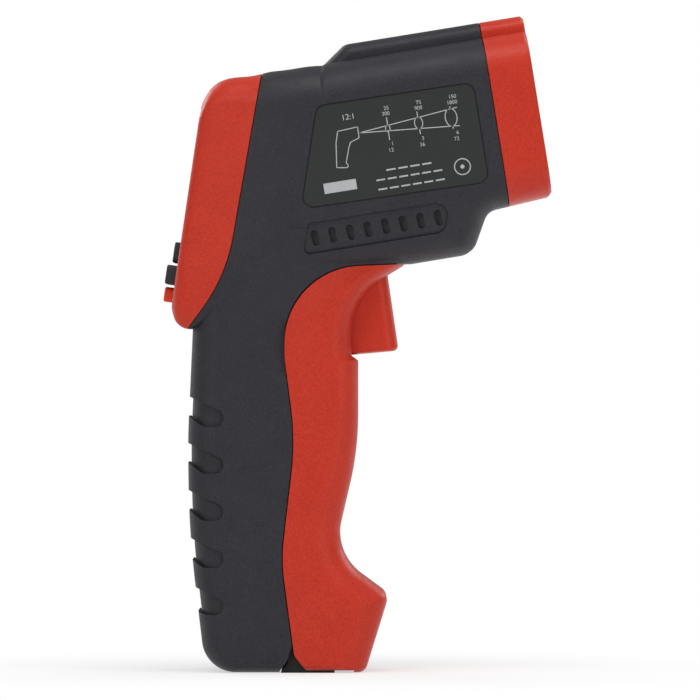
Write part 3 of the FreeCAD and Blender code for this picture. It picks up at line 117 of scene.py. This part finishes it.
def moulded(name, dark, light, grain, grain_depth, rough_low, rough_high, gloss_share=0.3):
    """Moulded plastic: slight tone changes, a fine eroded grain and uneven gloss."""
    material, nodes, links, shader = new_material(name)
    broad = spread(nodes, links, noise(nodes, links, 9 * MM, 4.0), -0.1, 0.1)
    speck = spread(nodes, links, noise(nodes, links, 0.45 * MM, 2.0, 0.7), 0.05, 0.95)
    tone = nodes.new("ShaderNodeMath")
    tone.operation = "ADD"
    tone.use_clamp = True
    links.new(broad, tone.inputs[0])
    links.new(speck, tone.inputs[1])
    links.new(two_tones(nodes, links, tone.outputs[0], dark, light), shader.inputs["Base Color"])
    gloss = spread(nodes, links, noise(nodes, links, 3 * MM, 3.0), rough_low, rough_high)
    links.new(gloss, shader.inputs["Roughness"])
    shader.inputs["Specular IOR Level"].default_value = gloss_share
    fine = noise(nodes, links, grain, 2.0, 0.6)
    wide = noise(nodes, links, 6 * MM, 1.0)
    bumps(nodes, links, shader, [(wide, 0.05 * MM), (fine, grain_depth)])
    return material


def metal(name, color, rough_low, rough_high, grain):
    """Bare or coated metal with slight tone changes and uneven gloss."""
    material, nodes, links, shader = new_material(name)
    shader.inputs["Metallic"].default_value = 1.0
    shade = tuple(0.8 * c for c in color)
    tone = spread(nodes, links, noise(nodes, links, 2 * MM, 3.0), 0.0, 1.0)
    links.new(two_tones(nodes, links, tone, shade, color), shader.inputs["Base Color"])
    gloss = spread(nodes, links, noise(nodes, links, grain, 2.0), rough_low, rough_high)
    links.new(gloss, shader.inputs["Roughness"])
    bumps(nodes, links, shader, [(noise(nodes, links, grain, 3.0), 0.01 * MM)])
    return material


def clear(name, tint, alpha, roughness):
    """Clear plastic or glass with faint uneven gloss."""
    material, nodes, links, shader = new_material(name)
    smear = spread(nodes, links, noise(nodes, links, 8 * MM, 3.0), roughness, roughness + 0.05)
    links.new(smear, shader.inputs["Roughness"])
    shader.inputs["Base Color"].default_value = (*tint, 1)
    shader.inputs["Alpha"].default_value = alpha
    shader.inputs["IOR"].default_value = 1.5
    bumps(nodes, links, shader, [(noise(nodes, links, 5 * MM, 1.0), 0.01 * MM)])
    return material


BLACK = moulded(
    "black_moulded", (0.0160, 0.0152, 0.0205), (0.0310, 0.0300, 0.0380),
    0.55 * MM, 0.09 * MM, 0.46, 0.56, 0.3)
RED = moulded(
    "red_moulded", (0.460, 0.0235, 0.0095), (0.605, 0.0430, 0.0190),
    0.7 * MM, 0.035 * MM, 0.36, 0.44, 0.22)
# The cover's red made lighter for the trigger: painted light on a part that sits recessed in the shade of
# the cover.
TRIGGER_RED_PAINTED_LIGHT = moulded(
    "red_trigger_painted_light", (0.545, 0.0300, 0.0120), (0.690, 0.0480, 0.0210),
    0.7 * MM, 0.030 * MM, 0.34, 0.42, 0.22)
INNER = moulded(
    "inner_black", (0.016, 0.016, 0.017), (0.024, 0.024, 0.026),
    0.4 * MM, 0.02 * MM, 0.55, 0.7)
LABEL = moulded(
    "label_film", (0.024, 0.0255, 0.025), (0.029, 0.0305, 0.030),
    0.9 * MM, 0.004 * MM, 0.30, 0.38)
KEY_DARK = moulded(
    "key_rubber", (0.030, 0.030, 0.034), (0.040, 0.040, 0.044),
    0.35 * MM, 0.015 * MM, 0.55, 0.65)
KEY_RED = moulded(
    "key_rubber_red", (0.74, 0.045, 0.012), (0.82, 0.055, 0.016),
    0.35 * MM, 0.015 * MM, 0.5, 0.6)
MAT_RUBBER = moulded("mat_rubber", (0.12, 0.12, 0.13), (0.16, 0.16, 0.17), 0.5 * MM, 0.02 * MM, 0.6, 0.7)
BOARD = moulded(
    "solder_mask", (0.012, 0.11, 0.045), (0.018, 0.15, 0.06),
    0.8 * MM, 0.01 * MM, 0.25, 0.35)
COMPONENT = moulded(
    "component_case", (0.02, 0.02, 0.021), (0.03, 0.03, 0.032),
    0.3 * MM, 0.01 * MM, 0.45, 0.55)
BATTERY_CASE = moulded(
    "battery_wrap", (0.10, 0.11, 0.13), (0.13, 0.14, 0.16),
    1.0 * MM, 0.004 * MM, 0.25, 0.35)
FOAM = moulded("foam", (0.05, 0.05, 0.05), (0.09, 0.09, 0.09), 0.5 * MM, 0.2 * MM, 0.85, 0.95)
WIRE = moulded("wire_cover", (0.42, 0.03, 0.025), (0.50, 0.04, 0.03), 0.8 * MM, 0.005 * MM, 0.35, 0.45)
LCD = moulded("lcd_face", (0.30, 0.33, 0.28), (0.33, 0.36, 0.31), 0.6 * MM, 0.002 * MM, 0.22, 0.28)
BACKLIGHT = moulded("backlight", (0.75, 0.76, 0.74), (0.80, 0.81, 0.79), 0.6 * MM, 0.002 * MM, 0.3, 0.4)
STEEL = metal("steel", (0.62, 0.62, 0.63), 0.2, 0.32, 0.4 * MM)
SCREW_STEEL = metal("black_oxide", (0.12, 0.12, 0.125), 0.35, 0.45, 0.4 * MM)
BRASS = metal("brass", (0.72, 0.52, 0.25), 0.22, 0.32, 0.4 * MM)
ALLOY = metal("dark_alloy", (0.10, 0.10, 0.11), 0.4, 0.5, 0.3 * MM)
WINDOW = clear("clear_window", (0.75, 0.79, 0.77), 0.28, 0.04)
LENS = clear("lens", (0.30, 0.33, 0.38), 0.85, 0.05)

LABEL_INK = moulded(
    "label_print", (0.40, 0.41, 0.42), (0.48, 0.49, 0.50),
    0.5 * MM, 0.002 * MM, 0.4, 0.5)
KEY_INK = moulded("key_print", (0.62, 0.62, 0.62), (0.70, 0.70, 0.70), 0.5 * MM, 0.002 * MM, 0.4, 0.5)
LCD_INK = moulded(
    "lcd_segments", (0.020, 0.022, 0.020), (0.028, 0.030, 0.028),
    0.5 * MM, 0.002 * MM, 0.3, 0.4)

# Grey sheet behind the vent slots: painted shade, a colour that stands in for the shadow inside the slots.
SHADE_SHEET = moulded(
    "vent_shade_sheet", (0.095, 0.090, 0.100), (0.125, 0.120, 0.130),
    0.4 * MM, 0.03 * MM, 0.8, 0.9)

SLOT_MATERIALS = {
    "black_shell": BLACK, "red_cover": RED, "inner_black": INNER, "label": LABEL,
    "window": WINDOW, "lcd": LCD, "backlight": BACKLIGHT, "key_dark": KEY_DARK,
    "key_red": KEY_RED, "mat": MAT_RUBBER, "board": BOARD, "component_black": COMPONENT,
    "steel": STEEL, "brass": BRASS, "lens_glass": LENS, "barrel_alloy": ALLOY,
    "battery_case": BATTERY_CASE, "foam": FOAM, "wire": WIRE, "screw_black": SCREW_STEEL,
}


def dress_nodes():
    """Gives every CAD node the material of its slot, and the trigger a lighter copy of the red: painted
    light that makes up for the shade it sits in.
    """
    for entry in frame["record"]["subparts"]:
        node = NODES[entry["node"]]
        for slot in node.material_slots:
            slot.material = SLOT_MATERIALS[entry["material_slot"]]
    # The lighter red on the trigger is painted light for its shaded recess.
    for slot in NODES["trigger"].material_slots:
        slot.material = TRIGGER_RED_PAINTED_LIGHT


# ---------------------------------------------------------------- print
PRINT_OUT = 0.02                # print lies this far over what it is on, in millimetres


class Print:
    """Flat marks drawn in one plane, in millimetres, made into one mesh."""

    def __init__(self):
        self.points = []
        self.faces = []

    def add(self, points, faces):
        start = len(self.points)
        self.points += points
        self.faces += [tuple(start + i for i in face) for face in faces]

    def line(self, a, b, width):
        run = Vector(b) - Vector(a)
        side = Vector((-run.y, run.x)).normalized() * width / 2
        corners = [Vector(a) - side, Vector(b) - side, Vector(b) + side, Vector(a) + side]
        self.add([tuple(c) for c in corners], [(0, 1, 2, 3)])

    def path(self, points, width, closed=False):
        ends = points[1:] + points[:1] if closed else points[1:]
        for a, b in zip(points, ends):
            self.line(a, b, width)

    def bar(self, centre, width, height):
        x, y = centre
        self.line((x - width / 2, y), (x + width / 2, y), height)

    def shape(self, points):
        self.add(list(points), [tuple(range(len(points)))])

    def ring(self, centre, across, up, width, steps=40):
        points, faces = [], []
        for i in range(steps):
            c, d = math.cos(2 * math.pi * i / steps), math.sin(2 * math.pi * i / steps)
            points.append((centre[0] + (across - width / 2) * c, centre[1] + (up - width / 2) * d))
            points.append((centre[0] + (across + width / 2) * c, centre[1] + (up + width / 2) * d))
            j = 2 * ((i + 1) % steps)
            faces.append((2 * i, 2 * i + 1, j + 1, j))
        self.add(points, faces)

    def disc(self, centre, radius, steps=24):
        angles = [2 * math.pi * i / steps for i in range(steps)]
        self.shape([(centre[0] + radius * math.cos(t), centre[1] + radius * math.sin(t)) for t in angles])

    def number(self, digits, centre, height, sign=1):
        """Plain digits; a sign of -1 turns them over, for a plane that is seen from behind."""
        curve = bpy.data.curves.new("digits", "FONT")
        curve.body = digits
        holder = linked("digits", curve)
        bpy.context.view_layer.update()
        mesh = bpy.data.meshes.new_from_object(holder)
        spots = [v.co.copy() for v in mesh.vertices]
        low = Vector([min(p[i] for p in spots) for i in range(3)])
        high = Vector([max(p[i] for p in spots) for i in range(3)])
        middle, scale = (low + high) / 2, height / (high.y - low.y)
        points = []
        for spot in spots:
            step = (spot - middle) * scale
            points.append((centre[0] + sign * step.x, centre[1] + step.y))
        self.add(points, [tuple(face.vertices) for face in mesh.polygons])
        bpy.data.objects.remove(holder)
        bpy.data.curves.remove(curve)
        bpy.data.meshes.remove(mesh)

    def make(self, name, place, outward, body, material, slot):
        """The mesh; place(a, b) gives a point in metres and outward is the way it faces."""
        mesh = bpy.data.meshes.new(name)
        mesh.from_pydata([place(*p) for p in self.points], [], self.faces)
        mesh.update()
        for face in mesh.polygons:
            if face.normal.dot(outward) < 0:
                face.flip()
        mesh.update()
        mesh.materials.append(material)
        piece = linked(name, mesh)
        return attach(piece, body)


TILT = math.radians(9.2)        # rise of the barrel
LABEL_MIDDLE = (26.65, 141.35)  # side-view X and Z of the label's middle, in millimetres
STROKE = 0.24                   # width of the label's lines
RATIO_HEIGHT = 1.5              # height of the digits of the ratio
NUMBER_HEIGHT = 1.0             # height of the other digits
DASH_PITCH = 3.1                # about how far apart the dashes of a blank line are
DASH_GAP = 0.7
DASH_HEIGHT = 0.42


def label_point(a, b):
    """Side-view X and Z, in millimetres, of a along the barrel and b up from the label's middle."""
    x = LABEL_MIDDLE[0] + a * math.cos(TILT) - b * math.sin(TILT)
    z = LABEL_MIDDLE[1] + a * math.sin(TILT) + b * math.cos(TILT)
    return x, z


def make_label_print(side):
    """The spot-size diagram: a beam that widens with distance, plain numbers, and blank bars."""
    label = Print()
    sign = 1 if side < 0 else -1
    nose, upper, lower = (-9.31, 3.48), (17.34, 6.06), (17.35, 1.14)
    label.line(nose, upper, STROKE)
    label.line(nose, lower, STROKE)
    label.number("12:1", (-11.5, 8.2), RATIO_HEIGHT, sign)
    for a, b, across, up in ((-1.62, 3.45, 0.6, 0.9), (6.68, 3.6, 1.07, 1.56), (15.41, 3.66, 1.56, 2.34)):
        label.ring((a, b), across, up, STROKE)
    for a, low, high in ((-1.5, 4.35, 6.4), (6.7, 5.2, 6.6), (15.5, 6.0, 6.6)):
        label.line((a, low), (a, high), STROKE)
    for a, high, low in ((-1.6, 2.5, 0.35), (6.7, 2.0, 0.6), (15.5, 1.3, 0.6)):
        label.line((a, high), (a, low), STROKE)
    for words, a, b in (("25", -1.2, 8.9), ("300", -1.5, 7.45), ("75", 7.5, 9.0), ("900", 7.25, 7.55),
                        ("150", 16.7, 9.1), ("1800", 16.4, 7.6), ("1", -1.0, -0.7), ("12", -1.5, -2.3),
                        ("3", 7.2, -0.6), ("36", 6.8, -2.2), ("6", 16.5, -0.5), ("72", 16.0, -2.1)):
        label.number(words, (a, b), NUMBER_HEIGHT, sign)
    for a, b, width in ((2.3, -7.4, 12.8), (2.05, -9.7, 18.4), (2.25, -12.2, 18.5)):
        count = round(width / DASH_PITCH)
        pitch = width / count
        for i in range(count):
            label.bar((a - width / 2 + pitch * (i + 0.5), b), pitch - DASH_GAP, DASH_HEIGHT)
    label.bar((-16.5, -9.7), 8.7, 2.75)
    label.ring((16.3, -9.7), 2.1, 2.1, STROKE + 0.05)
    label.disc((16.3, -9.7), 0.55)
    icon = [(11.2, 143.7), (16.5, 144.9), (16.9, 142.0), (14.6, 140.8), (14.2, 139.4), (13.5, 135.5),
            (14.1, 134.6), (13.8, 134.1), (11.0, 134.1), (10.8, 140.6)]
    turned = []
    for x, z in icon:
        dx, dz = x - LABEL_MIDDLE[0], z - LABEL_MIDDLE[1]
        turned.append((dx * math.cos(TILT) + dz * math.sin(TILT), dz * math.cos(TILT) - dx * math.sin(TILT)))
    label.path(turned, STROKE, closed=True)
    node = "left_label" if side > 0 else "right_label"
    low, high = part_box(node)
    face = high[1] + PRINT_OUT * MM if side > 0 else low[1] - PRINT_OUT * MM

    def place(a, b):
        x, z = label_point(a, b)
        return (x * MM, face, z * MM)

    label.make(node + "_print", place, Vector((0, side, 0)), "housing", LABEL_INK, "label")


LEAN = math.radians(8.4)        # lean of the display face
FACE_FOOT = (-33.9, 91.4)       # its lower end
FACE_OUT = Vector((-math.cos(LEAN), 0, math.sin(LEAN)))
LCD_PRINT_OUT = -2.27           # the segments lie this far out from it, in millimetres


def face_place(out):
    """Points in the plane that stands out from the display face: a to the reader's right, s up it."""
    def place(a, s):
        x = FACE_FOOT[0] + s * math.sin(LEAN) - out * math.cos(LEAN)
        z = FACE_FOOT[1] + s * math.cos(LEAN) + out * math.sin(LEAN)
        return (x * MM, -a * MM, z * MM)
    return place


SEGMENTS = {                    # ends of each segment in a unit cell one wide and two high
    "a": ((0, 2), (1, 2)), "b": ((1, 2), (1, 1)), "c": ((1, 1), (1, 0)), "d": ((0, 0), (1, 0)),
    "e": ((0, 1), (0, 0)), "f": ((0, 2), (0, 1)), "g": ((0, 1), (1, 1)),
}
DIGITS = {"2": "abged", "3": "abgcd", "4": "fgbc", "6": "afgedc", "8": "abcdefg"}


def seven_segments(sheet, digit, corner, width, height, stroke):
    """One digit of a segment display, with its lower left corner at corner."""
    for key in DIGITS[digit]:
        (x0, y0), (x1, y1) = SEGMENTS[key]
        a = Vector((corner[0] + x0 * width, corner[1] + y0 * height / 2))
        b = Vector((corner[0] + x1 * width, corner[1] + y1 * height / 2))
        trim = (b - a).normalized() * stroke * 0.58
        sheet.line(tuple(a + trim), tuple(b - trim), stroke)


def make_lcd_print():
    """A reading of three digits, with a smaller one over it."""
    screen = Print()
    for digit, a in (("2", -11.0), ("3", -3.6), ("6", 4.6)):
        seven_segments(screen, digit, (a, 35.5), 5.0, 10.5, 1.25)
    screen.disc((2.9, 35.6), 0.75)
    screen.ring((11.9, 45.6), 0.8, 0.8, 0.4)
    for digit, a in (("2", -10.8), ("8", -7.6), ("4", -3.6)):
        seven_segments(screen, digit, (a, 51.0), 2.0, 4.2, 0.55)
    screen.disc((-4.6, 51.1), 0.35)
    screen.path([(7.2, 51.5), (12.0, 51.5), (12.0, 54.1), (7.2, 54.1)], 0.35, closed=True)
    for a in (8.4, 9.6, 10.8):
        screen.bar((a, 52.8), 0.75, 1.6)
    screen.bar((12.5, 52.8), 0.5, 1.2)
    screen.make("lcd_segments", face_place(LCD_PRINT_OUT), FACE_OUT, "housing", LCD_INK, "lcd")


def make_key_marks():
    """One plain mark on each key."""
    mode, up, down, light = Print(), Print(), Print(), Print()
    mode.ring((0, 20.5), 1.35, 1.35, 0.42)
    up.shape([(-8.1, 13.4), (-5.1, 13.4), (-6.6, 15.7)])
    down.shape([(5.1, 15.4), (6.6, 13.1), (8.1, 15.4)])
    light.disc((0, 9.1), 0.62)
    for k in range(8):
        c, d = math.cos(math.pi * k / 4), math.sin(math.pi * k / 4)
        light.line((0.95 * c, 9.1 + 0.95 * d), (1.5 * c, 9.1 + 1.5 * d), 0.26)
    for sheet, name, out, body in (
        (mode, "key_mode_mark", 1.7, "mode_key"),
        (up, "key_left_mark", 2.8, "left_key"),
        (down, "key_right_mark", 2.8, "right_key"),
        (light, "key_light_mark", 2.6, "light_key"),
    ):
        sheet.make(name, face_place(out + PRINT_OUT), FACE_OUT, body, KEY_INK, "key_dark")


SHADE_SHEET_DEPTHS = (21.2, 21.5)    # both faces of the shade sheet, from the middle plane, in millimetres
SHADE_SHEET_U = (21.0, 59.0)         # its ends along the barrel
SHADE_SHEET_W = (110.9, 117.0)       # its lower and upper edges, square to the barrel


def make_vent_shade_sheets():
    """A thin grey sheet behind the vent slots of each side: painted shade, its grey set so the slots read as
    dark as the shadow inside the housing.
    """
    (u0, u1), (w0, w1) = SHADE_SHEET_U, SHADE_SHEET_W
    outline = ((u0, w0), (u1, w0), (u1, w1), (u0, w1))
    box = [(3, 2, 1, 0), (4, 5, 6, 7), (0, 1, 5, 4), (1, 2, 6, 5), (2, 3, 7, 6), (3, 0, 4, 7)]
    for side, name in ((1, "left_vent_shade_sheet"), (-1, "right_vent_shade_sheet")):
        points = []
        for depth in SHADE_SHEET_DEPTHS:
            for u, w in outline:
                x = u * math.cos(TILT) - w * math.sin(TILT)
                z = u * math.sin(TILT) + w * math.cos(TILT)
                points.append((x * MM, side * depth * MM, z * MM))
        mesh = bpy.data.meshes.new(name)
        mesh.from_pydata(points, [], [face if side < 0 else face[::-1] for face in box])
        mesh.materials.append(SHADE_SHEET)
        piece = linked(name, mesh)
        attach(piece, "housing")


# ---------------------------------------------------------------- stage, light, camera
def white_for_camera(nodes, links, surface, share):
    """Adds plain white to a surface, for the rays that show the background."""
    path = nodes.new("ShaderNodeLightPath")
    first = nodes.new("ShaderNodeMath")
    first.operation = "MAXIMUM"
    second = nodes.new("ShaderNodeMath")
    second.operation = "MAXIMUM"
    links.new(path.outputs["Is Camera Ray"], first.inputs[0])
    links.new(path.outputs["Is Glossy Ray"], first.inputs[1])
    links.new(first.outputs[0], second.inputs[0])
    links.new(path.outputs["Is Transmission Ray"], second.inputs[1])
    amount = nodes.new("ShaderNodeMath")
    amount.operation = "MULTIPLY"
    links.new(share, amount.inputs[1])
    links.new(second.outputs[0], amount.inputs[0])
    white = nodes.new("ShaderNodeEmission")
    mix = nodes.new("ShaderNodeMixShader")
    links.new(amount.outputs[0], mix.inputs["Fac"])
    links.new(surface, mix.inputs[1])
    links.new(white.outputs[0], mix.inputs[2])
    return mix.outputs[0]


FLOOR_HALF = 3.0                # half the floor's side
WHITE_NEAR = 0.55               # share of plain white up to FADE_START, where the shadow shows
FADE_START = 0.03               # distances from the middle, in metres
FADE_END = 0.16                 # plain white from here on


def make_floor():
    """A white floor that keeps the object's shadow and fades to the background."""
    mesh = bpy.data.meshes.new("floor")
    half = FLOOR_HALF
    corners = [(-half, -half, 0), (half, -half, 0), (half, half, 0), (-half, half, 0)]
    mesh.from_pydata(corners, [], [(0, 1, 2, 3)])
    floor = linked("floor", mesh)
    material = bpy.data.materials.new("floor_white")
    material.use_nodes = True
    nodes, links = material.node_tree.nodes, material.node_tree.links
    nodes.clear()
    output = nodes.new("ShaderNodeOutputMaterial")
    diffuse = nodes.new("ShaderNodeBsdfDiffuse")
    diffuse.inputs["Color"].default_value = (0.9, 0.9, 0.9, 1)
    away = nodes.new("ShaderNodeVectorMath")
    away.operation = "LENGTH"
    links.new(object_point(nodes), away.inputs[0])
    share = nodes.new("ShaderNodeMapRange")
    share.interpolation_type = "SMOOTHSTEP"
    share.inputs["From Min"].default_value = FADE_START
    share.inputs["From Max"].default_value = FADE_END
    share.inputs["To Min"].default_value = WHITE_NEAR
    share.inputs["To Max"].default_value = 1.0
    links.new(away.outputs["Value"], share.inputs["Value"])
    surface = white_for_camera(nodes, links, diffuse.outputs[0], share.outputs["Result"])
    links.new(surface, output.inputs["Surface"])
    mesh.materials.append(material)


AMBIENT = 0.35                  # strength of the even light from all round


def make_world():
    """Even light on the object, and plain white where the camera sees past it."""
    world = bpy.data.worlds.new("studio")
    bpy.context.scene.world = world
    world.use_nodes = True
    nodes, links = world.node_tree.nodes, world.node_tree.links
    nodes.clear()
    output = nodes.new("ShaderNodeOutputWorld")
    ambient = nodes.new("ShaderNodeBackground")
    ambient.inputs["Color"].default_value = (1, 1, 1, 1)
    ambient.inputs["Strength"].default_value = AMBIENT
    white = nodes.new("ShaderNodeBackground")
    white.inputs["Color"].default_value = (1, 1, 1, 1)
    path = nodes.new("ShaderNodeLightPath")
    mix = nodes.new("ShaderNodeMixShader")
    links.new(path.outputs["Is Camera Ray"], mix.inputs["Fac"])
    links.new(ambient.outputs[0], mix.inputs[1])
    links.new(white.outputs[0], mix.inputs[2])
    links.new(mix.outputs[0], output.inputs["Surface"])


LAMP_AIM = Vector((0.015, 0.0, 0.09))


def make_lamp(name, place, size, watts):
    """A rectangle of light that looks at the object's middle."""
    lamp = bpy.data.lights.new(name, "AREA")
    lamp.shape = "RECTANGLE"
    lamp.size, lamp.size_y = size
    lamp.energy = watts
    holder = linked(name, lamp)
    holder.location = place
    holder.rotation_euler = (LAMP_AIM - Vector(place)).to_track_quat("-Z", "Y").to_euler()


def make_lamps():
    make_lamp("key", (-0.5, -0.9, 0.65), (0.6, 0.6), 2.8)
    make_lamp("fill", (0.75, -0.7, 0.25), (0.5, 0.8), 1.9)
    make_lamp("back_left", (-0.6, 0.8, 0.5), (0.6, 0.6), 3.5)
    make_lamp("back_right", (0.7, 0.7, 0.5), (0.5, 0.6), 2.5)
    make_lamp("top", (0.1, -0.25, 0.95), (0.7, 0.5), 4.2)


def make_camera():
    """A long lens level with the middle of the object, square to its right side."""
    camera = bpy.data.cameras.new("camera")
    camera.sensor_width = 36.0
    camera.lens = 400.0
    camera.clip_start = 0.05
    camera.clip_end = 20.0
    width_seen = 0.1876
    middle = (0.0145, 0.0858)
    distance = width_seen * camera.lens / camera.sensor_width
    holder = linked("camera", camera)
    holder.location = (middle[0], -distance, middle[1])
    holder.rotation_euler = (math.pi / 2, 0, 0)
    bpy.context.scene.camera = holder


make_camera()
make_world()
make_lamps()
make_floor()
bpy.context.scene.view_settings.view_transform = "Standard"
dress_nodes()
for label_side in (1, -1):
    make_label_print(label_side)
make_lcd_print()
make_key_marks()
make_vent_shade_sheets()
